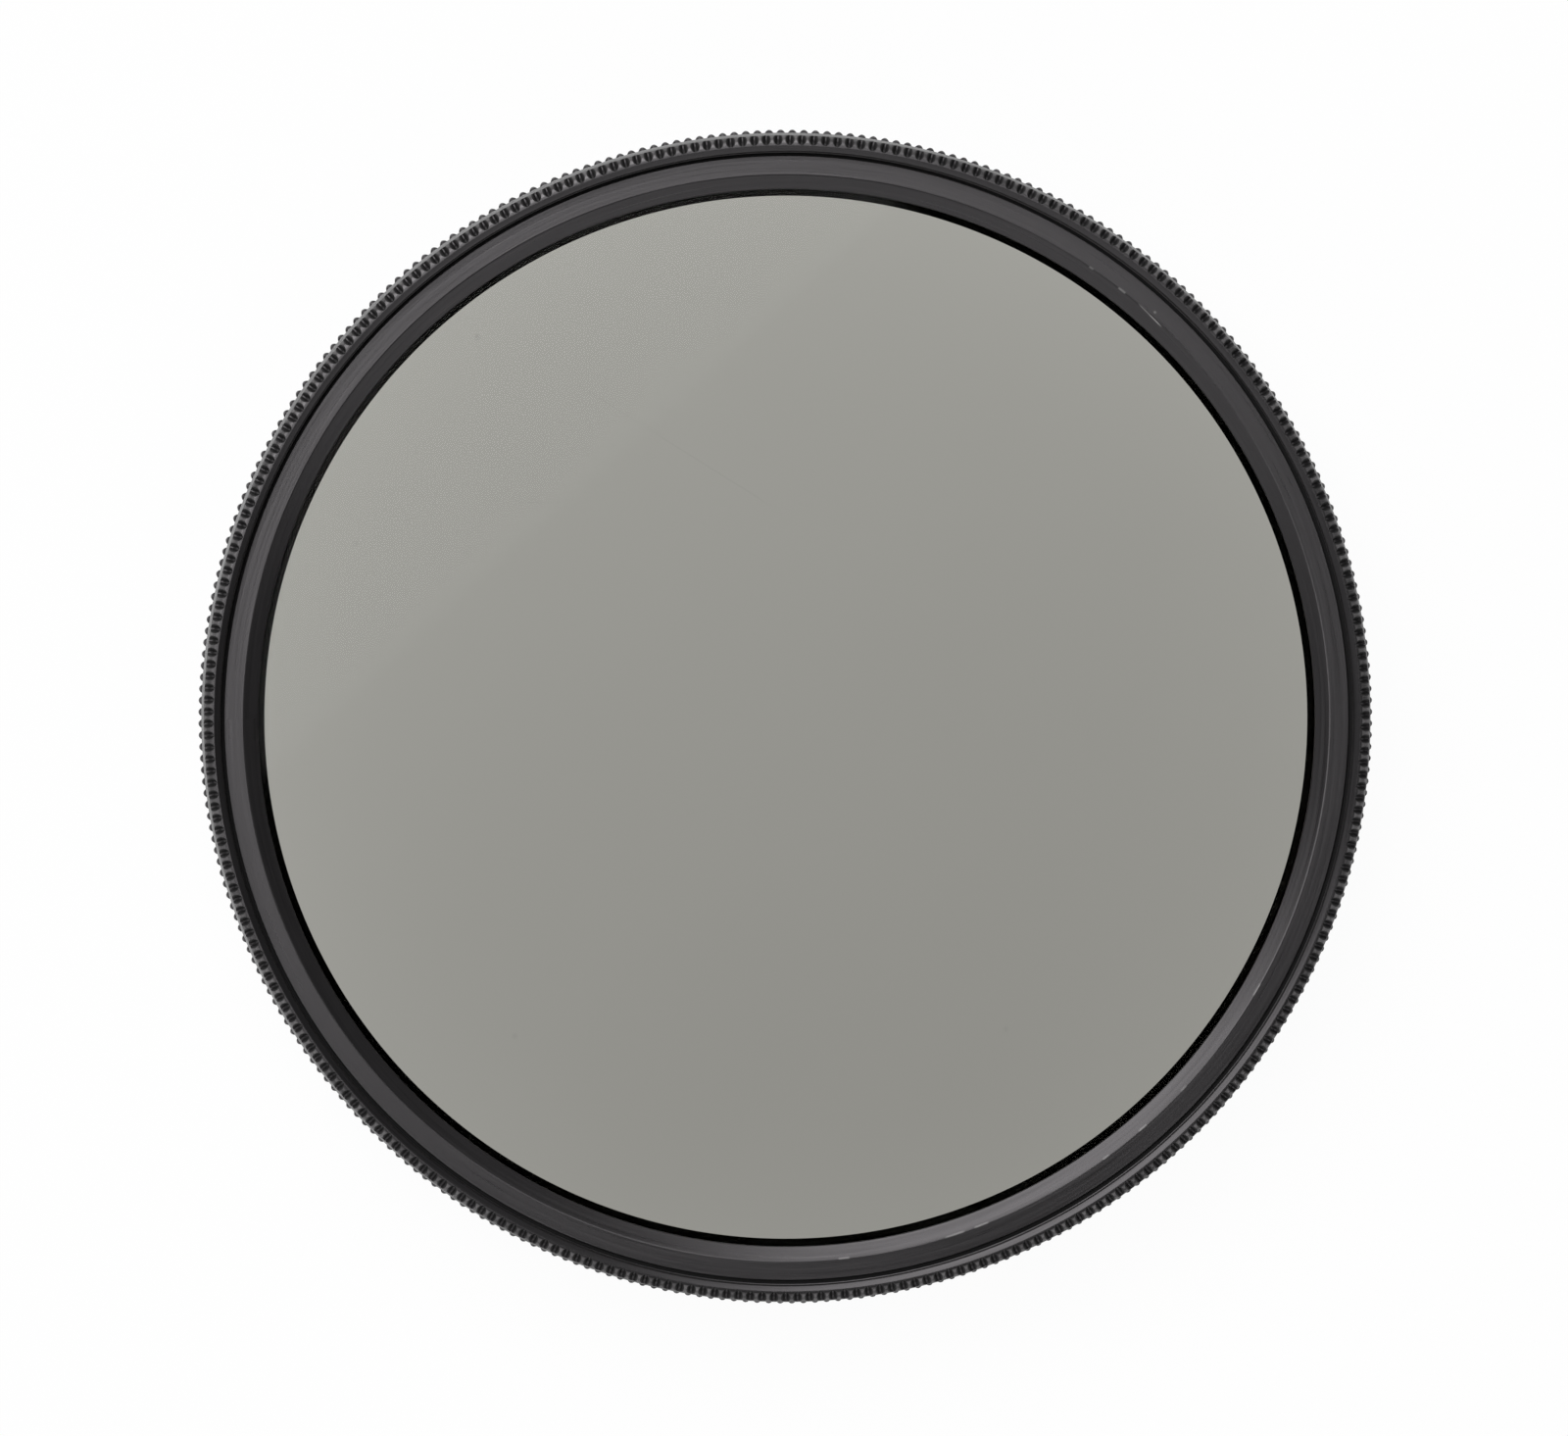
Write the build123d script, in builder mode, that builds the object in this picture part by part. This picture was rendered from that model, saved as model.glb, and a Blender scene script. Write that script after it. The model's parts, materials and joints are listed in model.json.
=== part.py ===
from build123d import *
import math
import os

# A rotating polarising filter that screws into the front of a lens, in millimetres.
# The optical axis is +Z, the front of the filter is up, and z = 0 is the rear end of the male thread.

# Filter thread, metric fine, the same at both ends
thread_major_diameter = 77.0
thread_pitch = 0.75
female_depth_per_pitch = 0.5413

# Rear ring: the male thread that goes into the lens, and the knurled flange that stays still
male_thread_length = 2.3
thread_start_chamfer = 0.35
male_relief_width = 0.6
male_relief_depth = 0.55
rear_wall = 1.0
rear_flange_overhang = 1.3
rear_flange_height = 1.8
rear_knurl_teeth = 316

# Front ring: the notched rim that is turned by hand, with the collar that runs in the rear ring
ring_gap = 0.15
running_clearance = 0.08
collar_wall = 1.58
collar_length = 2.65
collar_flare = 0.45
aperture_chamfer_width = 0.4
aperture_chamfer_depth = 0.25
web_thickness = 0.55
front_rim_overhang = 1.0
front_foot_height = 1.5
front_side_taper = 0.3
front_knurl_teeth = 306
notch_floor_angle = 45.0
notch_overrun = 0.05
rim_land = 0.05
lead_in_width = 0.4
lead_in_depth = 0.19
female_thread_length = 1.4
female_relief_width = 0.35
female_relief_depth = 0.41
pocket_step = 0.44
knurl_groove_angle = 90.0

# Flat spring ring that snaps the two rings together, bent in short straight sides
spring_height = 0.6
spring_width = 0.6
spring_axial_play = 0.05
spring_seat_depth = 0.3
spring_seat_play = 0.02
spring_travel = 0.2
spring_sides = 24
spring_gap = 3.0

# Laminated polariser: glass, polarising film, glass
glass_thickness = 0.7
film_thickness = 0.2
glass_clearance = 0.1

# Retaining ring, screwed down on the glass from the front
retainer_clearance = 0.05
retainer_lip_gap = 0.2
retainer_body_height = 0.35
retainer_lip_height = 0.35
retainer_step_clearance = 0.05
retainer_face_width = 1.28
retainer_bevel_width = 0.95
retainer_bevel_drop = 0.45

# Radii that follow from the thread
thread_major_radius = thread_major_diameter / 2
thread_minor_radius = thread_major_radius - female_depth_per_pitch * thread_pitch
male_relief_radius = thread_major_radius - male_relief_depth
rear_bore_radius = male_relief_radius - rear_wall
collar_radius = rear_bore_radius - running_clearance
aperture_radius = collar_radius - collar_wall
pocket_radius = thread_minor_radius - pocket_step
glass_radius = pocket_radius - glass_clearance
female_relief_radius = thread_minor_radius + female_relief_depth
lead_in_radius = thread_minor_radius + lead_in_width
rim_root_radius = lead_in_radius + rim_land
rear_tip_radius = thread_major_radius + rear_flange_overhang
front_side_radius = thread_major_radius + front_rim_overhang
rim_side_radius = front_side_radius - front_side_taper
retainer_lip_radius = thread_minor_radius - retainer_lip_gap
retainer_body_radius = pocket_radius - retainer_clearance
retainer_ridge_radius = retainer_lip_radius - retainer_face_width
retainer_inner_radius = retainer_ridge_radius - retainer_bevel_width
spring_outer_radius = rear_bore_radius + spring_seat_depth - spring_seat_play
spring_inner_radius = spring_outer_radius * math.cos(math.pi / spring_sides) - spring_width

# Heights that follow from the stack of pieces
shoulder_z = male_thread_length
flange_top_z = shoulder_z + rear_flange_height
front_under_z = flange_top_z + ring_gap
front_taper_z = front_under_z + front_foot_height
collar_end_z = front_under_z - collar_length
seat_z = front_under_z + web_thickness
polarising_film_z = seat_z + glass_thickness
front_glass_z = polarising_film_z + film_thickness
glass_top_z = front_glass_z + glass_thickness
lip_under_z = glass_top_z + retainer_body_height
retainer_face_z = lip_under_z + retainer_lip_height
relief_floor_z = lip_under_z - retainer_step_clearance
female_thread_z = relief_floor_z + female_relief_width
lead_in_z = female_thread_z + female_thread_length
rim_z = lead_in_z + lead_in_depth
spring_z = (shoulder_z + flange_top_z) / 2
spring_slot_half = spring_height / 2 + spring_axial_play


def knurl_depth(tip_radius, teeth):
    """Depth of the V grooves between the sharp crests of a straight knurl."""
    half_tooth = tip_radius * math.sin(math.pi / teeth)
    return half_tooth / math.tan(math.radians(knurl_groove_angle / 2))


def knurl_points(tip_radius, root_radius, teeth):
    """Corners of a knurled rim: a crest and a root for each tooth."""
    corners = []
    for corner in range(2 * teeth):
        radius = root_radius if corner % 2 else tip_radius
        angle = math.pi * corner / teeth
        corners.append((radius * math.cos(angle), radius * math.sin(angle)))
    return corners


os.makedirs("parts", exist_ok=True)

# Rear ring: knurled flange over the male thread, with the running bore and the spring seat
rear_root_radius = rear_tip_radius - knurl_depth(rear_tip_radius, rear_knurl_teeth)
with BuildPart() as rear_ring:
    with BuildSketch(Plane.XY.offset(shoulder_z)):
        with BuildLine():
            Polyline(*knurl_points(rear_tip_radius, rear_root_radius, rear_knurl_teeth), close=True)
        make_face()
    extrude(amount=rear_flange_height)
    with BuildSketch(Plane.XZ):
        with BuildLine():
            Polyline(
                (0, 0),
                (thread_major_radius - thread_start_chamfer, 0),
                (thread_major_radius, thread_start_chamfer),
                (thread_major_radius, shoulder_z - male_relief_width),
                (male_relief_radius, shoulder_z),
                (male_relief_radius, spring_z),
                (0, spring_z),
                close=True,
            )
        make_face()
    revolve(axis=Axis.Z)
    with BuildSketch(Plane.XZ):
        with BuildLine():
            Polyline(
                (0, 0),
                (rear_bore_radius, 0),
                (rear_bore_radius, spring_z - spring_slot_half),
                (rear_bore_radius + spring_seat_depth, spring_z - spring_slot_half),
                (rear_bore_radius + spring_seat_depth, spring_z + spring_slot_half),
                (rear_bore_radius, spring_z + spring_slot_half),
                (rear_bore_radius, flange_top_z),
                (0, flange_top_z),
                close=True,
            )
        make_face()
    revolve(axis=Axis.Z, mode=Mode.SUBTRACT)
rear_ring.part.label = "rear_ring"
export_step(rear_ring.part, "parts/rear_ring.step")

# Front ring: V notches cut slantwise over the rim, which leave its bevelled crests and run out on the tapered side
notch_length = front_side_radius + notch_overrun - rim_root_radius
notch_foot_z = rim_z - notch_length / math.tan(math.radians(notch_floor_angle))
rim_tip_radius = rim_root_radius + knurl_depth(rim_root_radius, front_knurl_teeth)
rim_sections = (
    (notch_foot_z, 1 + notch_length / rim_root_radius),
    (rim_z, 1.0),
)
with BuildPart() as front_ring:
    for height, spread in rim_sections:
        crests = spread * rim_tip_radius
        roots = spread * rim_root_radius
        with BuildSketch(Plane.XY.offset(height)):
            with BuildLine():
                Polyline(*knurl_points(crests, roots, front_knurl_teeth), close=True)
            make_face()
    loft(ruled=True)
    with BuildSketch(Plane.XY.offset(front_under_z)):
        Circle(front_side_radius + notch_overrun)
    extrude(amount=notch_foot_z - front_under_z)
    with BuildSketch(Plane.XZ):
        with BuildLine():
            Polyline(
                (0, front_under_z),
                (front_side_radius, front_under_z),
                (front_side_radius, front_taper_z),
                (rim_side_radius, rim_z),
                (0, rim_z),
                close=True,
            )
        make_face()
    revolve(axis=Axis.Z, mode=Mode.INTERSECT)
    with BuildSketch(Plane.XY.offset(collar_end_z)):
        Circle(collar_radius)
    extrude(amount=seat_z - collar_end_z)
    # Everything inside the rim, from the flared rear of the aperture up to the thread's lead-in
    with BuildSketch(Plane.XZ):
        with BuildLine():
            Polyline(
                (0, collar_end_z),
                (aperture_radius + collar_flare, collar_end_z),
                (aperture_radius, seat_z - aperture_chamfer_depth),
                (aperture_radius + aperture_chamfer_width, seat_z),
                (pocket_radius, seat_z),
                (pocket_radius, relief_floor_z),
                (female_relief_radius, relief_floor_z),
                (thread_minor_radius, female_thread_z),
                (thread_minor_radius, lead_in_z),
                (lead_in_radius, rim_z),
                (0, rim_z),
                close=True,
            )
        make_face()
    revolve(axis=Axis.Z, mode=Mode.SUBTRACT)
    # Groove in the collar that the spring ring closes into when the rings are pushed together
    with BuildSketch(Plane.XZ):
        with Locations((collar_radius, spring_z)):
            Rectangle(2 * (collar_radius - spring_inner_radius + spring_travel), 2 * spring_slot_half)
    revolve(axis=Axis.Z, mode=Mode.SUBTRACT)
front_ring.part.label = "front_ring"
export_step(front_ring.part, "parts/front_ring.step")

# Spring ring: open at one side, its corners sprung out into the rear ring's seat
with BuildPart() as spring_ring:
    with BuildSketch(Plane.XY.offset(spring_z - spring_height / 2)):
        RegularPolygon(spring_outer_radius, spring_sides)
        offset(amount=-spring_width, kind=Kind.INTERSECTION, mode=Mode.SUBTRACT)
        with Locations((spring_outer_radius, 0)):
            Rectangle(4 * spring_width, spring_gap, mode=Mode.SUBTRACT)
    extrude(amount=spring_height)
spring_ring.part.label = "spring_ring"
export_step(spring_ring.part, "parts/spring_ring.step")

# Laminate: three discs cemented face to face on the seat of the front ring
laminate = (
    ("rear_glass", seat_z, glass_thickness),
    ("polarising_film", polarising_film_z, film_thickness),
    ("front_glass", front_glass_z, glass_thickness),
)
for disc_name, disc_z, disc_thickness in laminate:
    with BuildPart() as disc:
        with BuildSketch(Plane.XY.offset(disc_z)):
            Circle(glass_radius)
        extrude(amount=disc_thickness)
    disc.part.label = disc_name
    export_step(disc.part, f"parts/{disc_name}.step")

# Retaining ring: threaded body in the pocket, lip under the front thread, bevel towards the glass
with BuildPart() as retaining_ring:
    with BuildSketch(Plane.XZ):
        with BuildLine():
            Polyline(
                (retainer_inner_radius, glass_top_z),
                (retainer_body_radius, glass_top_z),
                (retainer_body_radius, lip_under_z),
                (retainer_lip_radius, lip_under_z),
                (retainer_lip_radius, retainer_face_z),
                (retainer_ridge_radius, retainer_face_z),
                (retainer_inner_radius, retainer_face_z - retainer_bevel_drop),
                close=True,
            )
        make_face()
    revolve(axis=Axis.Z)
retaining_ring.part.label = "retaining_ring"
export_step(retaining_ring.part, "parts/retaining_ring.step")
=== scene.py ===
import json
import math

import bmesh
import bpy
from mathutils import Matrix, Vector


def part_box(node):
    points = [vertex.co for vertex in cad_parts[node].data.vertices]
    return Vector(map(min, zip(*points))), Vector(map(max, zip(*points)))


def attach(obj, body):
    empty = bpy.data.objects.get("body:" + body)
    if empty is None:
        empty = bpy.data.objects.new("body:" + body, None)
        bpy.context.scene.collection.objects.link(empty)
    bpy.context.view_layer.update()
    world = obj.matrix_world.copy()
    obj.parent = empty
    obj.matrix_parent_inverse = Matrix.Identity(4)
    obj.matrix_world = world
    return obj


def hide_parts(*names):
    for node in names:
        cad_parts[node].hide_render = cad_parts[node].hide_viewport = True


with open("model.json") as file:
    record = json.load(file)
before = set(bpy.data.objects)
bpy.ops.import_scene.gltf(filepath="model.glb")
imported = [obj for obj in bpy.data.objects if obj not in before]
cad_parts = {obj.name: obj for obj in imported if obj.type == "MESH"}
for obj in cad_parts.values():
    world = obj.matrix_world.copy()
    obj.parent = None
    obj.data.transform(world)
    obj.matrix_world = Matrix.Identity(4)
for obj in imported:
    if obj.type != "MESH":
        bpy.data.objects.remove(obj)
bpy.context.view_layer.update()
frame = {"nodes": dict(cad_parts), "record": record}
scene = bpy.context.scene

# Rear ring: it stays still on the lens. It is turned from aluminium tube, a straight knurl is rolled round its
# flange, and the lens thread is cut on the sleeve below it. The whole ring is anodised satin black, with painted
# shade darkening the grooves of its knurl.
MM = 0.001
mounts = {mount["name"]: mount["dims"] for mount in frame["record"]["mounts"]}
thread_major = mounts["rear_thread"]["r_mm"] * MM
thread_minor = mounts["front_thread"]["r_mm"] * MM
thread_pitch = 0.75 * MM
thread_half_angle = math.radians(30)
thread_fade_turns = 0.12
ridge_sunk = 0.03 * MM
weld = 0.002 * MM

rear_bottom, rear_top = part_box("rear_ring")
rear_tip = rear_top.x
rear_teeth = 316
rear_first = math.radians(0.55)
flange_top = rear_top.z
flange_bottom = 2.3 * MM
rear_edge_chamfer = 0.4 * MM
rear_edge_round = 0.34 * MM
rear_edge_inset = 0.02 * MM
rear_groove_drop = 0.05 * MM
rear_groove_lean = 0.04
rear_edge_angle = 34
rear_bore = thread_major - 1.55 * MM
rear_bore_chamfer = 0.15 * MM
sleeve_relief = thread_major - 0.55 * MM
spring_middle = (flange_bottom + flange_top) / 2
spring_seat_half = 0.35 * MM
spring_seat_depth = 0.3 * MM
male_depth = 0.6134 * thread_pitch
male_foot = 0.85 * thread_pitch
male_crest = thread_pitch / 8
male_start = 0.4 * MM
male_turns = 1.85


class Wire:
    """One output of a node. Arithmetic with wires and numbers adds Math nodes to the same tree."""

    def __init__(self, tree, socket):
        self.tree = tree
        self.socket = socket

    def out(self, name):
        """Another output of the same node."""
        return Wire(self.tree, self.socket.node.outputs[name])

    def maths(self, operation, *terms):
        return Net(self.tree).add("ShaderNodeMath", {"operation": operation}, dict(enumerate(terms)))

    def __add__(self, other):
        return self.maths("ADD", self, other)

    def __sub__(self, other):
        return self.maths("SUBTRACT", self, other)

    def __rsub__(self, other):
        return self.maths("SUBTRACT", other, self)

    def __mul__(self, other):
        return self.maths("MULTIPLY", self, other)

    def __truediv__(self, other):
        return self.maths("DIVIDE", self, other)

    def __rtruediv__(self, other):
        return self.maths("DIVIDE", other, self)

    def __pow__(self, other):
        return self.maths("POWER", self, other)

    def __rpow__(self, other):
        return self.maths("POWER", other, self)

    def __abs__(self):
        return self.maths("ABSOLUTE", self)

    def least(self, other):
        return self.maths("MINIMUM", self, other)

    def most(self, other):
        return self.maths("MAXIMUM", self, other)

    def rise(self, start, end):
        """0 before start, 1 beyond end, and a smooth step between them. End may be the smaller of the two."""
        settings = {"interpolation_type": "SMOOTHSTEP"}
        return Net(self.tree).add(
            "ShaderNodeMapRange", settings, {"Value": self, "From Min": start, "From Max": end}
        )

    __radd__ = __add__
    __rmul__ = __mul__


class Net:
    """A node tree that is being wired up."""

    def __init__(self, tree):
        self.tree = tree

    def add(self, kind, settings=(), inputs=()):
        """A node of that type, with its settings, then values or wires for its sockets, by name or place."""
        node = self.tree.nodes.new(kind)
        for name, value in dict(settings).items():
            setattr(node, name, value)
        for key, value in dict(inputs).items():
            for term in value if isinstance(value, list) else [value]:
                if isinstance(term, Wire):
                    self.tree.links.new(term.socket, node.inputs[key])
                else:
                    node.inputs[key].default_value = term
        shown = [output for output in node.outputs if output.enabled]
        return Wire(self.tree, shown[0]) if shown else None

    def blend(self, share, first, second):
        """A colour between two, each an RGB triple or a wire."""
        ends = [end if isinstance(end, Wire) else (*end, 1.0) for end in (first, second)]
        return self.add("ShaderNodeMix", {"data_type": "RGBA"}, {"Factor": share, "A": ends[0], "B": ends[1]})


def blank_material(name):
    """A material with no nodes yet, and its tree."""
    material = bpy.data.materials.new(name)
    material.use_nodes = True
    material.node_tree.nodes.clear()
    return material, Net(material.node_tree)


def anodised_black(name, dye, bare_and_glint, line_depth, wear_and_glints):
    """Satin black anodised aluminium with uneven dye and lines left by the lathe. Its grooves and recesses are matte,
    and painted darker there as painted shade.

    Its last argument takes the tree and the wires for the place across the axis and for clouding, and gives the share
    of rubbed-through metal and of painted highlights.
    """
    material, net = blank_material(name)
    place = net.add("ShaderNodeTexCoord").out("Object")
    axes = net.add("ShaderNodeSeparateXYZ", {}, {0: place})
    x, y, z = axes.out("X"), axes.out("Y"), axes.out("Z")
    radius = (x * x + y * y) ** 0.5
    angle = y.maths("ARCTAN2", y, x)
    cloud = net.add("ShaderNodeTexNoise", {}, {"Vector": place, "Scale": 420.0, "Detail": 3.0})
    grain = net.add("ShaderNodeTexNoise", {}, {"Vector": place, "Scale": 9000.0, "Detail": 2.0})
    cut = net.add("ShaderNodeCombineXYZ", {}, {"X": angle * 3.0, "Y": (radius + z * 0.7) * 3600.0})
    lines = net.add("ShaderNodeTexNoise", {"noise_dimensions": "2D"}, {"Vector": cut, "Scale": 1.0, "Detail": 4.0})
    worn_and_glinting = wear_and_glints(net, x, y, cloud)
    shade = net.blend(cloud * 0.4 + lines * 0.6, [0.7 * part for part in dye], [1.3 * part for part in dye])
    colour = net.blend(worn_and_glinting, shade, bare_and_glint)
    bump = net.add(
        "ShaderNodeBump", {}, {"Strength": 0.35, "Distance": line_depth, "Height": lines * 0.7 + grain * 0.3}
    )
    satin = net.add(
        "ShaderNodeBsdfPrincipled",
        {},
        {
            "Base Color": colour,
            "Roughness": 0.2 + 0.24 * lines - 0.06 * worn_and_glinting,
            "IOR": 1.5,
            "Specular Tint": (1.0, 0.955, 0.99, 1.0),
            "Normal": bump,
        },
    )
    # Painted shade: where the groove attribute says so, the satin gives way to a matte black painted darker. It stands
    # in for the shade in grooves and recesses.
    shaded_matte = net.add(
        "ShaderNodeBsdfPrincipled",
        {},
        {
            "Base Color": net.blend(grain, [0.25 * part for part in dye], [0.55 * part for part in dye]),
            "Roughness": 0.55,
            "Specular IOR Level": 0.2,
        },
    )
    # The groove attribute holds the share of painted shade at each point.
    groove = net.add("ShaderNodeAttribute", {"attribute_name": "groove"}).out("Fac")
    surface = net.add("ShaderNodeMixShader", {}, {0: groove.rise(0.1, 1.0), 1: satin, 2: shaded_matte})
    net.add("ShaderNodeOutputMaterial", {}, {"Surface": surface})
    return material


def rubbed_crests(net, x, y, cloud):
    """Wear of a knurl: the crests that fingers touch, more in some places than in others."""
    crest = net.add("ShaderNodeAttribute", {"attribute_name": "crest"}).out("Fac")
    return crest.rise(0.88, 1.0) * (0.4 + 0.6 * cloud.rise(0.4, 0.62))


def empty_tree(name, inputs):
    """A Geometry Nodes tree with named inputs only, and a function that gives the wire of an input."""
    tree = bpy.data.node_groups.new(name, "GeometryNodeTree")
    for label, kind in inputs.items():
        tree.interface.new_socket(label, in_out="INPUT", socket_type="NodeSocket" + kind)
    tree.interface.new_socket("Geometry", in_out="OUTPUT", socket_type="NodeSocketGeometry")
    net = Net(tree)
    return net, net.add("NodeGroupInput").out


def ring_tree():
    """Geometry Nodes that set one slice of a ring all the way round the axis and weld the slices."""
    net, size = empty_tree(
        "ring_of_slices",
        {"Slice": "Geometry", "Slices": "Int", "First angle": "Float", "Weld": "Float", "Finish": "Material"},
    )
    turn = net.add("GeometryNodeInputIndex") * math.tau / size("Slices") + size("First angle")
    slices = net.add(
        "GeometryNodeInstanceOnPoints",
        {},
        {
            "Points": net.add("GeometryNodePoints", {}, {"Count": size("Slices")}),
            "Instance": size("Slice"),
            "Rotation": net.add("ShaderNodeCombineXYZ", {}, {"Z": turn}),
        },
    )
    solid = net.add("GeometryNodeRealizeInstances", {}, {"Geometry": slices})
    ring = net.add("GeometryNodeMergeByDistance", {}, {"Geometry": solid, "Distance": size("Weld")})
    painted = net.add("GeometryNodeSetMaterial", {}, {"Geometry": ring, "Material": size("Finish")})
    net.add("NodeGroupOutput", {}, {"Geometry": painted})
    return net.tree


def thread_tree():
    """Geometry Nodes that wind the ridge of a thread on a ring. It fades in and out at its ends."""
    net, size = empty_tree(
        "thread_ridge",
        {
            "Ring": "Geometry",
            "Foot radius": "Float",
            "Height": "Float",
            "Foot width": "Float",
            "Crest width": "Float",
            "Facing": "Float",
            "Start": "Float",
            "Turns": "Float",
            "Pitch": "Float",
            "Fade turns": "Float",
            "Finish": "Material",
        },
    )
    spiral = net.add(
        "GeometryNodeCurveSpiral",
        {},
        {
            "Resolution": 240,
            "Rotations": size("Turns"),
            "Start Radius": size("Foot radius"),
            "End Radius": size("Foot radius"),
            "Height": size("Turns") * size("Pitch"),
            "Reverse": True,
        },
    )
    lift = net.add("ShaderNodeCombineXYZ", {}, {"Z": size("Start")})
    raised = net.add("GeometryNodeTransform", {}, {"Geometry": spiral, "Translation": lift})
    upright = net.add("GeometryNodeSetCurveNormal", {"mode": "Z_UP"}, {"Curve": raised})
    along = net.add("GeometryNodeSplineParameter").out("Factor")
    fade = (along.least(1 - along) * size("Turns") / size("Fade turns")).least(1.0).most(0.05)
    section = net.add(
        "GeometryNodeCurvePrimitiveQuadrilateral",
        {"mode": "TRAPEZOID"},
        {
            "Height": size("Height"),
            "Bottom Width": size("Foot width"),
            "Top Width": size("Crest width"),
            "Offset": 0.0,
        },
    )
    step = net.add("ShaderNodeCombineXYZ", {}, {"Y": size("Height") * 0.5})
    footed = net.add("GeometryNodeTransform", {}, {"Geometry": section, "Translation": step})
    quarter = net.add("ShaderNodeCombineXYZ", {}, {"Z": size("Facing")})
    profile = net.add("GeometryNodeTransform", {}, {"Geometry": footed, "Rotation": quarter})
    ridge = net.add(
        "GeometryNodeCurveToMesh",
        {},
        {"Curve": upright, "Profile Curve": profile, "Scale": fade, "Fill Caps": True},
    )
    both = net.add("GeometryNodeJoinGeometry", {}, {"Geometry": [size("Ring"), ridge]})
    solid = net.add("GeometryNodeRealizeInstances", {}, {"Geometry": both})
    painted = net.add("GeometryNodeSetMaterial", {}, {"Geometry": solid, "Material": size("Finish")})
    net.add("NodeGroupOutput", {}, {"Geometry": painted})
    return net.tree


def slice_mesh(name, slices, flank, outside, inside):
    """One slice of a ring, from groove to groove of its knurl, with the ring's wall behind it.

    flank goes from crest to groove as (share of the way, share of the depth, share of painted shade). outside goes up
    the knurl as (crest point, groove point, share of the knurl's look, share of the pitch that the groove takes),
    inside goes on from its top, down the wall. Points are (radius, height), and those inside may add their share of
    painted shade.
    """
    half = math.pi / slices
    points, crests, grooves, faces = [], [], [], []

    def point(place, share, crest, groove):
        radius, height = place[:2]
        points.append((radius * math.cos(half * share), radius * math.sin(half * share), height))
        crests.append(crest)
        grooves.append(groove)
        return len(points) - 1

    rows = []
    for crest, groove, look, width in outside:
        right = []
        for way, depth, shade_share in flank:
            place = [c + (g - c) * depth for c, g in zip(crest, groove)]
            right.append((place, 1 - width * (1 - way), look * (1 - depth), look * shade_share))
        left = [(place, -share, *looks) for place, share, *looks in reversed(right) if share > 0]
        rows.append([point(*corner) for corner in left + right])
    wall = [[point(place, side, 0.0, sum(place[2:])) for side in (-1, 1)] for place in inside]
    for low, high in zip(rows, rows[1:]):
        for left in range(len(low) - 1):
            faces.append((low[left], low[left + 1], high[left + 1], high[left]))
    for high, low in zip(wall, wall[1:]):
        faces.append((high[0], high[1], low[1], low[0]))
    faces.append((*rows[-1], wall[0][1], wall[0][0]))
    faces.append((*reversed(rows[0]), wall[-1][0], wall[-1][1]))
    mesh = bpy.data.meshes.new(name)
    mesh.from_pydata(points, [], faces)
    mesh.attributes.new("crest", "FLOAT", "POINT").data.foreach_set("value", crests)
    # The groove attribute carries each point's share of painted shade.
    mesh.attributes.new("groove", "FLOAT", "POINT").data.foreach_set("value", grooves)
    return mesh


def soften(mesh, edge_angle):
    """Turns every face outwards and shades the mesh smooth, except where faces meet at more than that angle."""
    form = bmesh.new()
    form.from_mesh(mesh)
    bmesh.ops.recalc_face_normals(form, faces=form.faces)
    form.to_mesh(mesh)
    form.free()
    mesh.shade_smooth()
    mesh.set_sharp_from_angle(angle=math.radians(edge_angle))


def grown(name, mesh, edge_angle, steps):
    """What a few Geometry Nodes trees, each with its sizes, make of a mesh, as a plain object."""
    piece = bpy.data.objects.new(name, mesh)
    scene.collection.objects.link(piece)
    for tree, sizes in steps:
        modifier = piece.modifiers.new(tree.name, "NODES")
        modifier.node_group = tree
        for socket in tree.interface.items_tree:
            if socket.in_out == "INPUT" and socket.name in sizes:
                modifier[socket.identifier] = sizes[socket.name]
    result = bpy.data.meshes.new_from_object(piece.evaluated_get(bpy.context.evaluated_depsgraph_get()))
    piece.modifiers.clear()
    piece.data = result
    soften(result, edge_angle)
    return piece


rear_finish = anodised_black(
    "rear_ring_anodising", (0.012, 0.0115, 0.012), (0.08, 0.077, 0.08), 0.02 * MM, rubbed_crests
)
rear_groove = rear_tip - rear_tip * math.sin(math.pi / rear_teeth)
rear_edge = rear_groove - rear_edge_inset
male_root = thread_major - male_depth
# The tooth's third column is its share of painted shade, growing towards the groove root where the knurl lies in shade.
rounded_tooth = ((0.0, 0.0, 0.0), (0.28, 0.07, 0.1), (0.55, 0.3, 0.4), (0.8, 0.66, 0.7), (1.0, 1.0, 1.0))
rear_outside = [
    ((rear_edge, flange_bottom), (rear_edge, flange_bottom), 0.0, 1.0),
    ((rear_tip, flange_bottom + rear_edge_chamfer), (rear_groove, flange_bottom + rear_edge_inset), 1.0, 1.0),
]
for degrees in (0, 30, 55, 75):
    bend = math.radians(degrees)
    crest = (
        rear_edge + (rear_tip - rear_edge) * math.cos(bend),
        flange_top - rear_edge_round * (1 - math.sin(bend)),
    )
    groove = (
        rear_groove - (rear_tip - crest[0]) * rear_groove_lean,
        flange_top - rear_groove_drop * (1 - math.sin(bend)) - rear_edge_inset / 2,
    )
    rear_outside.append((crest, groove, 1.0, 1.0))
rear_outside.append(((rear_edge, flange_top), (rear_edge, flange_top), 0.0, 1.0))
seat_low, seat_high = spring_middle - spring_seat_half, spring_middle + spring_seat_half
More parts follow.
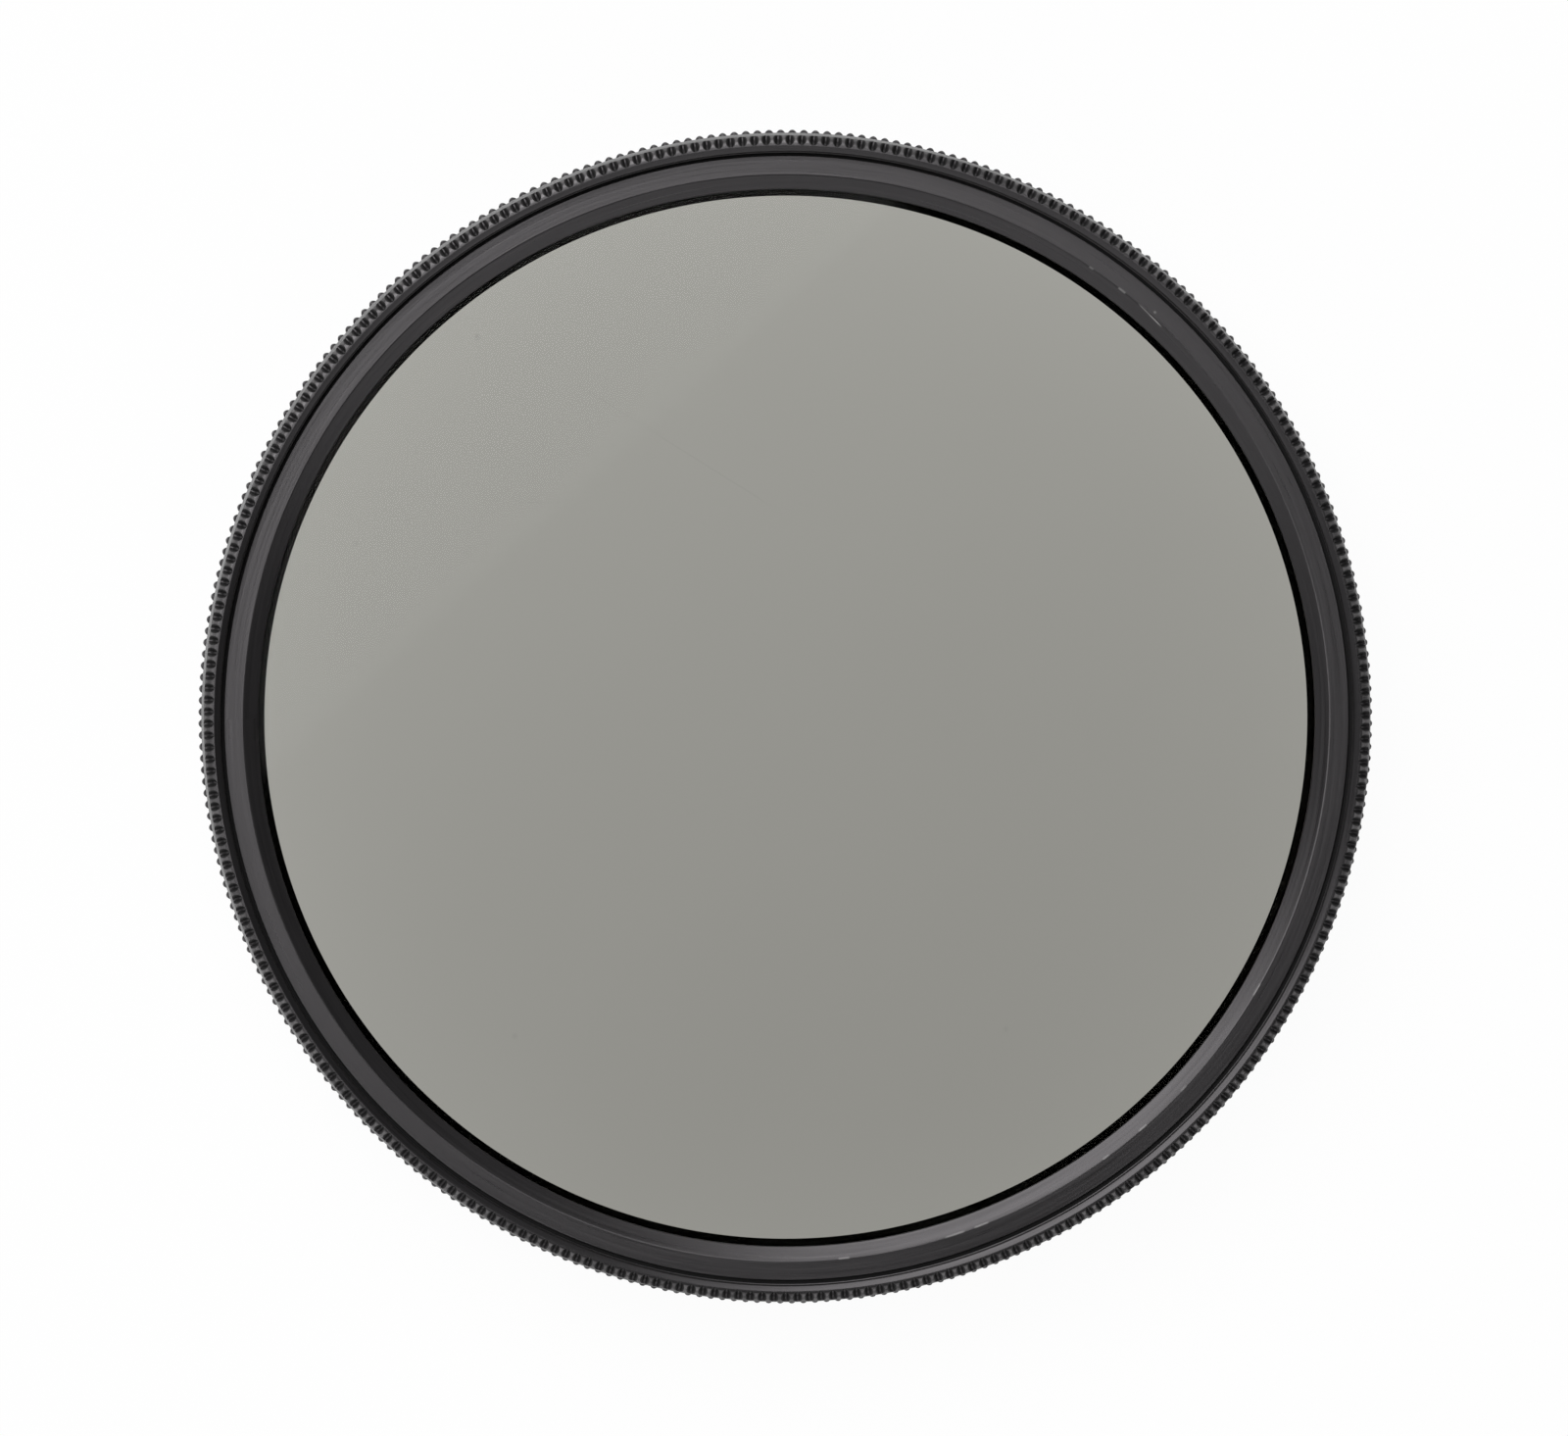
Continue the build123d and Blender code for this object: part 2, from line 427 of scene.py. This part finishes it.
rear_inside = (
    (rear_bore + rear_bore_chamfer, flange_top),
    (rear_bore, flange_top - rear_bore_chamfer),
    (rear_bore, seat_high),
    (rear_bore + spring_seat_depth, seat_high),
    (rear_bore + spring_seat_depth, seat_low),
    (rear_bore, seat_low),
    (rear_bore, rear_bore_chamfer),
    (rear_bore + rear_bore_chamfer, 0.0),
    (male_root - rear_bore_chamfer, 0.0),
    (male_root, rear_bore_chamfer),
    (male_root, flange_bottom - 0.5 * MM),
    (sleeve_relief, flange_bottom - 0.4 * MM),
    (sleeve_relief, flange_bottom),
)
ring_maker = ring_tree()
thread_maker = thread_tree()
rear_ring = grown(
    "rear_ring_turned",
    slice_mesh("rear_tooth", rear_teeth, rounded_tooth, rear_outside, rear_inside),
    rear_edge_angle,
    (
        (ring_maker, {"Slices": rear_teeth, "First angle": rear_first, "Weld": weld, "Finish": rear_finish}),
        (
            thread_maker,
            {
                "Foot radius": male_root - ridge_sunk,
                "Height": male_depth + ridge_sunk,
                "Foot width": male_foot,
                "Crest width": male_crest,
                "Facing": -math.pi / 2,
                "Start": male_start,
                "Turns": male_turns,
                "Pitch": thread_pitch,
                "Fade turns": thread_fade_turns,
                "Finish": rear_finish,
            },
        ),
    ),
)
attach(rear_ring, "fixed_ring")
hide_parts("rear_ring")

# Spring ring: flat spring steel wire bent in short straight sides, open at one place. It sits in the groove
# between the two rings, holds them together and gives the front ring its drag.
spring_steel, net = blank_material("spring_wire")
place = net.add("ShaderNodeTexCoord").out("Object")
drawn = net.add("ShaderNodeMapping", {}, {"Vector": place, "Scale": (300.0, 300.0, 9000.0)})
streaks = net.add("ShaderNodeTexNoise", {}, {"Vector": drawn, "Scale": 1.0, "Detail": 4.0})
surface = net.add(
    "ShaderNodeBsdfPrincipled",
    {},
    {
        "Base Color": net.blend(streaks, (0.42, 0.41, 0.4), (0.62, 0.62, 0.6)),
        "Metallic": 1.0,
        "Roughness": 0.22 + 0.2 * streaks,
        "Normal": net.add("ShaderNodeBump", {}, {"Strength": 0.2, "Distance": 0.01 * MM, "Height": streaks}),
    },
)
net.add("ShaderNodeOutputMaterial", {}, {"Surface": surface})
spring_ring = frame["nodes"]["spring_ring"]
spring_ring.data.materials.clear()
spring_ring.data.materials.append(spring_steel)

# Front ring: the ring that is turned by hand, with its collar running in the rear ring. Turned from aluminium,
# notched all round its rim, threaded inside for a hood or a cap, and anodised satin black, with painted shade in its
# notches, its thread and the recesses round the glass.
front_bottom, front_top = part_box("front_ring")
front_side = front_top.x
front_teeth = 306
front_first = math.radians(0.97)
rim_top = front_top.z
collar_end = front_bottom.z
front_under = 4.25 * MM
front_edge_chamfer = 0.22 * MM
front_taper_foot = front_under + 1.5 * MM
rim_side = front_side - 0.25 * MM
rim_round = 0.7 * MM
notch_start = math.radians(15)
notch_depth = 0.28 * MM
notch_narrow, notch_wide = 0.08, 0.86
notch_rows = 10
# Painted shade in the notches grows with their depth, by this factor.
notch_shading = 1.5
lead_in_width = 0.4 * MM
lead_in_depth = 0.19 * MM
foot_round = 0.2 * MM
foot_steps = 6
relief_floor = 6.7 * MM
pocket_radius = thread_minor - 0.44 * MM
seat_height = 4.8 * MM
collar_radius = rear_bore - 0.08 * MM
collar_chamfer = 0.15 * MM
collar_flare = 0.45 * MM
aperture_radius = collar_radius - 1.58 * MM
aperture_chamfer_width = 0.4 * MM
aperture_chamfer_depth = 0.15 * MM
spring_groove_radius = 36.11 * MM
edge_break = 0.03 * MM
front_edge_angle = 20
female_foot = 0.875 * thread_pitch
female_crest = thread_pitch / 4
female_turns = 1.6

lead_in_radius = thread_minor + lead_in_width
lead_in_foot = rim_top - lead_in_depth
lead_in_slope = math.atan2(lead_in_depth, lead_in_width)
foot_middle = lead_in_foot - foot_round * math.tan(math.pi / 4 - lead_in_slope / 2)
# The foot of the lead-in chamfer rounds into the thread and is painted darker towards the thread as painted shade.
foot_arc = []
for step in range(foot_steps + 1):
    tilt = lead_in_slope + (math.pi / 2 - lead_in_slope) * step / foot_steps
    across = thread_minor + foot_round * (1 - math.sin(tilt))
    foot_arc.append((across, foot_middle + foot_round * math.cos(tilt), step / foot_steps))
# The notch's third column is its share of painted shade, most on the flanks where the notch lies in shade.
cut_tooth = (
    (0.0, 0.0, 0.0), (0.1, 0.07, 0.5), (0.42, 0.45, 0.8), (0.7, 0.84, 0.8), (0.82, 0.95, 0.2), (1.0, 1.0, 0.0)
)
front_outside = []
for inset, height in ((front_edge_chamfer, front_under), (0, front_under + front_edge_chamfer), (0, front_taper_foot)):
    front_outside.append(((front_side - inset, height), (front_side - inset, height), 0.0, notch_narrow))
front_outside.append(((rim_side, rim_top - rim_round), (rim_side, rim_top - rim_round), 0.0, notch_narrow))
for row in range(notch_rows + 1):
    swell = math.sin(math.pi * row / notch_rows)
    bend = math.pi / 2 - (math.pi / 2 - notch_start) * (1 + math.cos(math.pi * row / notch_rows)) / 2
    crest = (rim_side - rim_round * (1 - math.cos(bend)), rim_top - rim_round * (1 - math.sin(bend)))
    groove = (crest[0] - notch_depth * swell * math.cos(bend), crest[1] - notch_depth * swell * math.sin(bend))
    width = notch_narrow + (notch_wide - notch_narrow) * swell
    front_outside.append((crest, groove, min(1.0, notch_shading * swell), width))
flank = (thread_major - thread_minor) * math.tan(thread_half_angle)
lip_foot = foot_middle - edge_break
# Inside points with a third value get that share of painted shade: the lead-in edge gets half, and the thread, its
# relief, the pocket, the glass seat and its chamfer get all of it.
front_inside = (
    (lead_in_radius + edge_break / 2, rim_top, 0.5),
    (lead_in_radius - edge_break / 2, rim_top - edge_break / 2),
    *foot_arc,
    (thread_minor, lip_foot, 1.0),
    (thread_major, lip_foot - flank, 1.0),
    (thread_major, relief_floor, 1.0),
    (pocket_radius, relief_floor, 1.0),
    (pocket_radius, seat_height, 1.0),
    (aperture_radius + aperture_chamfer_width, seat_height, 1.0),
    (aperture_radius + aperture_chamfer_width, seat_height - edge_break / 2, 1.0),
    (aperture_radius, seat_height - aperture_chamfer_depth, 1.0),
    (aperture_radius + collar_flare, collar_end),
    (collar_radius - collar_chamfer, collar_end),
    (collar_radius, collar_end + collar_chamfer),
    (collar_radius, seat_low),
    (spring_groove_radius, seat_low),
    (spring_groove_radius, seat_high),
    (collar_radius, seat_high),
    (collar_radius, front_under),
)
front_finish = anodised_black(
    "front_ring_anodising", (0.012, 0.0115, 0.012), (0.11, 0.106, 0.108), 0.02 * MM, rubbed_crests
)
front_ring = grown(
    "front_ring_turned",
    slice_mesh("front_tooth", front_teeth, cut_tooth, front_outside, front_inside),
    front_edge_angle,
    (
        (ring_maker, {"Slices": front_teeth, "First angle": front_first, "Weld": weld, "Finish": front_finish}),
        (
            thread_maker,
            {
                "Foot radius": thread_major + ridge_sunk,
                "Height": thread_major - thread_minor + ridge_sunk,
                "Foot width": female_foot,
                "Crest width": female_crest,
                "Facing": math.pi / 2,
                "Start": lead_in_foot - female_crest / 2 - female_turns * thread_pitch,
                "Turns": female_turns,
                "Pitch": thread_pitch,
                "Fade turns": thread_fade_turns,
                "Finish": front_finish,
            },
        ),
    ),
)
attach(front_ring, "turning_ring")
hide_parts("front_ring")

# Polariser: a grey polarising film cemented between two round glasses, which together pass about a third of the
# light. The cement matches the glass, so the stack is one block, coated against reflections on both faces. Its
# tint is painted lighter towards the key lamp's side as painted light, and is lighter towards the rim.
seating = 0.02 * MM
glass_bottom, glass_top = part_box("rear_glass")[0].z + seating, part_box("front_glass")[1].z - seating
glass_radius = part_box("front_glass")[1].x
glass_chamfer = 0.12 * MM
glass_sides = 256
glass_edge_angle = 30
coated_index = 1.1
# Direction in the plane of the glass towards which the painted light makes the tint lighter.
lamp_side_angle = math.radians(115)
hairlines = (((-15.2, 23.2), (0.6, 13.3)), ((-18.3, 14.6), (-13.9, 14.55)))


def turned_disc(name, profile, sides, edge_angle):
    """A solid disc turned about the optical axis, from a profile that goes up its edge as (radius, height)."""
    form = bmesh.new()
    rings = []
    for radius, height in profile:
        corners = []
        for side in range(sides):
            angle = math.tau * side / sides
            corners.append(form.verts.new((radius * math.cos(angle), radius * math.sin(angle), height)))
        rings.append(corners)
    for low, high in zip(rings, rings[1:]):
        for side in range(sides):
            after = (side + 1) % sides
            form.faces.new((low[side], low[after], high[after], high[side]))
    form.faces.new(reversed(rings[0]))
    form.faces.new(rings[-1])
    mesh = bpy.data.meshes.new(name)
    form.to_mesh(mesh)
    form.free()
    soften(mesh, edge_angle)
    piece = bpy.data.objects.new(name, mesh)
    scene.collection.objects.link(piece)
    return piece


def hairline(x, y, start, end, width):
    """A fine straight mark between two points, in millimetres."""
    start, end = Vector(start) * MM, Vector(end) * MM
    way = (end - start).normalized()
    length = (end - start).length
    along = (x - start.x) * way.x + (y - start.y) * way.y
    across = (y - start.y) * way.x - (x - start.x) * way.y
    ends = along.rise(0.0, 0.2 * length) * along.rise(length, 0.8 * length)
    return abs(across).rise(width * MM, 0.0) * ends


polariser = turned_disc(
    "polariser",
    (
        (glass_radius - glass_chamfer, glass_bottom),
        (glass_radius, glass_bottom + glass_chamfer),
        (glass_radius, glass_top - glass_chamfer),
        (glass_radius - glass_chamfer, glass_top),
    ),
    glass_sides,
    glass_edge_angle,
)
tinted_glass, net = blank_material("polariser_glass")
place = net.add("ShaderNodeTexCoord").out("Object")
axes = net.add("ShaderNodeSeparateXYZ", {}, {0: place})
x, y = axes.out("X"), axes.out("Y")
haze = net.add("ShaderNodeTexNoise", {}, {"Vector": place, "Scale": 60.0, "Detail": 3.0})
# Painted light: a slope across the disc that makes the tint lighter towards the key lamp's side.
lamp_side_light = (x * math.cos(lamp_side_angle) + y * math.sin(lamp_side_angle)) / glass_radius
dust = net.add("ShaderNodeTexVoronoi", {"feature": "F1"}, {"Vector": place, "Scale": 110.0})
marks = dust.out("Distance").rise(0.035, 0.01) * 0.25
for start, end in hairlines:
    marks = marks.most(hairline(x, y, start, end, 0.05) * 0.12)
out = (x * x + y * y) / glass_radius ** 2
share = 0.3 + 0.34 * lamp_side_light + 0.27 * out * out + 0.08 * (haze - 0.5)
tint = net.blend(share, (0.262, 0.259, 0.238), (0.392, 0.39, 0.361))
surface = net.add(
    "ShaderNodeBsdfPrincipled",
    {},
    {
        "Base Color": net.blend(marks, tint, (0.16, 0.16, 0.15)),
        "Roughness": 0.02 + 0.02 * haze,
        "IOR": coated_index,
        "Transmission Weight": 1.0,
    },
)
net.add("ShaderNodeOutputMaterial", {}, {"Surface": surface})
polariser.data.materials.append(tinted_glass)
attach(polariser, "turning_ring")
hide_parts("front_glass", "polarising_film", "rear_glass")

# Retaining ring: a thin turned aluminium ring, screwed down on the glass from the front and anodised black. Its
# flat face and its inner bevel meet in a ridge, where the black is rubbed off in places, and short painted
# highlights mark the ridge where it faces the key lamp.
retainer_bottom, retainer_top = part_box("retaining_ring")
retainer_lip = retainer_top.x
retainer_face = retainer_top.z
lip_under = retainer_bottom.z + 0.35 * MM
body_radius = pocket_radius - 0.05 * MM
ridge_radius = retainer_lip - 1.28 * MM
retainer_inner = ridge_radius - 0.95 * MM
bevel_drop = 0.45 * MM
ridge_facet = 0.04 * MM
ridge_facet_slope = 0.4
retainer_edge_angle = 10
retainer_slices = 360
scratch = ((23.6, 28.02), (25.3, 26.32))
nick = ((24.7, 27.46), (24.84, 27.3))
# Short bright marks along the ridge as (angle in degrees, length in mm): rubbed spots near the scratch, and painted
# highlights where the ridge faces the key lamp.
scuffs_and_glints = ((276, 0.9), (288, 1.6), (291, 1.2), (306, 0.6), (311, 0.8), (317, 0.6), (330, 1.1), (52, 0.7), (56, 0.4))


def rubbed_and_glinting_ridge(net, x, y, cloud):
    """Marks on the retaining ring: a rubbed scratch across its face, and short bright marks along its ridge, which are
    rubbed spots near the scratch and painted highlights where the ridge faces the key lamp.
    """
    worn_and_glinting = hairline(x, y, *scratch, 0.07) * 0.8
    worn_and_glinting = worn_and_glinting.most(hairline(x, y, *nick, 0.14) * 0.5)
    for degrees, length in scuffs_and_glints:
        middle = ridge_radius / MM * Vector((math.cos(math.radians(degrees)), math.sin(math.radians(degrees))))
        way = Vector((-middle.y, middle.x)).normalized() * length / 2
        worn_and_glinting = worn_and_glinting.most(hairline(x, y, middle - way, middle + way, 0.12) * 0.45)
    return worn_and_glinting * (0.5 + 0.5 * cloud.rise(0.3, 0.6))


retainer_outside = [
    ((retainer_lip, height), (retainer_lip, height), 0.0, 1.0) for height in (lip_under, retainer_face - edge_break)
]
retainer_inside = (
    (retainer_lip - edge_break, retainer_face),
    (ridge_radius + ridge_facet, retainer_face),
    (ridge_radius - ridge_facet, retainer_face - ridge_facet * ridge_facet_slope),
    (retainer_inner + edge_break, retainer_face - bevel_drop),
    (retainer_inner, retainer_face - bevel_drop - edge_break),
    (retainer_inner, retainer_bottom.z),
    (body_radius, retainer_bottom.z),
    (body_radius, lip_under),
)
plain_edge = ((1.0, 0.0, 0.0),)
# The second colour is that of rubbed-through metal, and also that of the painted highlights along the ridge.
retainer_finish = anodised_black(
    "retaining_ring_anodising", (0.015, 0.0143, 0.0148), (0.3, 0.295, 0.29), 0.03 * MM, rubbed_and_glinting_ridge
)
retaining_ring = grown(
    "retaining_ring_turned",
    slice_mesh("retainer_slice", retainer_slices, plain_edge, retainer_outside, retainer_inside),
    retainer_edge_angle,
    ((ring_maker, {"Slices": retainer_slices, "Weld": weld, "Finish": retainer_finish}),),
)
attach(retaining_ring, "turning_ring")
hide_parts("retaining_ring")

# Studio: a white table, seen as plain white by the camera and through the glass. A soft box lights it from the
# upper left of the picture, one hangs overhead, and two weaker ones stand below the picture, left and right.
table_size = 4.0
table_white = 0.8
table_glow = 0.96
table_top = -0.02 * MM

table_mesh = bpy.data.meshes.new("table")
half = table_size / 2
table_mesh.from_pydata(
    [(x, y, table_top) for x, y in ((-half, -half), (half, -half), (half, half), (-half, half))], [], [(0, 1, 2, 3)]
)
table = bpy.data.objects.new("table", table_mesh)
scene.collection.objects.link(table)
table_paint, net = blank_material("table_white")
ray = net.add("ShaderNodeLightPath")
seen = (ray.out("Is Camera Ray") * table_glow).most(ray.out("Is Transmission Ray"))
paper = net.add("ShaderNodeBsdfDiffuse", {}, {"Color": (table_white, table_white, table_white, 1)})
glow = net.add("ShaderNodeEmission", {}, {"Color": (1, 1, 1, 1), "Strength": 1.0})
mixed = net.add("ShaderNodeMixShader", {}, {0: seen, 1: paper, 2: glow})
net.add("ShaderNodeOutputMaterial", {}, {"Surface": mixed})
table_mesh.materials.append(table_paint)

world = bpy.data.worlds.new("studio")
world.use_nodes = True
world.node_tree.nodes.clear()
net = Net(world.node_tree)
ray = net.add("ShaderNodeLightPath")
ambient = 0.02
room = net.add("ShaderNodeBackground", {}, {"Color": (1, 1, 1, 1), "Strength": ambient})
backdrop = net.add("ShaderNodeBackground", {}, {"Color": (1, 1, 1, 1), "Strength": 1.0})
mixed = net.add("ShaderNodeMixShader", {}, {0: ray.out("Is Camera Ray"), 1: room, 2: backdrop})
net.add("ShaderNodeOutputWorld", {}, {"Surface": mixed})
scene.world = world

for name, azimuth, elevation, distance, width, height, radiance in (
    ("key", 118, 45, 0.9, 0.8, 0.5, 4.6),
    ("left_fill", 234, 33, 0.9, 0.95, 0.45, 1.3),
    ("right_fill", 300, 33, 0.9, 0.95, 0.45, 1.3),
    ("overhead", 132, 73, 0.9, 0.55, 0.5, 4.2),
):
    lamp = bpy.data.lights.new(name, "AREA")
    lamp.shape = "RECTANGLE"
    lamp.size = width
    lamp.size_y = height
    lamp.energy = radiance * math.pi * width * height
    holder = bpy.data.objects.new(name, lamp)
    scene.collection.objects.link(holder)
    turn, lift = math.radians(azimuth), math.radians(elevation)
    holder.location = distance * Vector(
        (math.cos(lift) * math.cos(turn), math.cos(lift) * math.sin(turn), math.sin(lift))
    )
    holder.rotation_euler = (-holder.location).to_track_quat("-Z", "Y").to_euler()

image_width, image_height = 1600, 1465
camera_lean = math.radians(1.95)
camera_azimuth = math.radians(131)
camera_distance = 0.56
rear_knurl_height = 3.2 * MM
view_width = 106.4 * MM
centre_pixel = (802.07, 731.9)

camera_data = bpy.data.cameras.new("camera")
camera_data.sensor_fit = "HORIZONTAL"
camera_data.sensor_width = 36.0
camera_data.lens = camera_data.sensor_width * camera_distance / view_width
camera_data.shift_x = (image_width / 2 - centre_pixel[0]) / image_width
camera_data.shift_y = (centre_pixel[1] - image_height / 2) / image_width
camera = bpy.data.objects.new("camera", camera_data)
scene.collection.objects.link(camera)
target = Vector((0, 0, rear_knurl_height))
camera.location = target + camera_distance * Vector(
    (
        math.sin(camera_lean) * math.cos(camera_azimuth),
        math.sin(camera_lean) * math.sin(camera_azimuth),
        math.cos(camera_lean),
    )
)
ahead = (target - camera.location).normalized()
right = ahead.cross(Vector((0, 1, 0))).normalized()
camera.rotation_euler = Matrix((right, right.cross(ahead), -ahead)).transposed().to_euler()
scene.camera = camera
scene.view_settings.view_transform = "Standard"
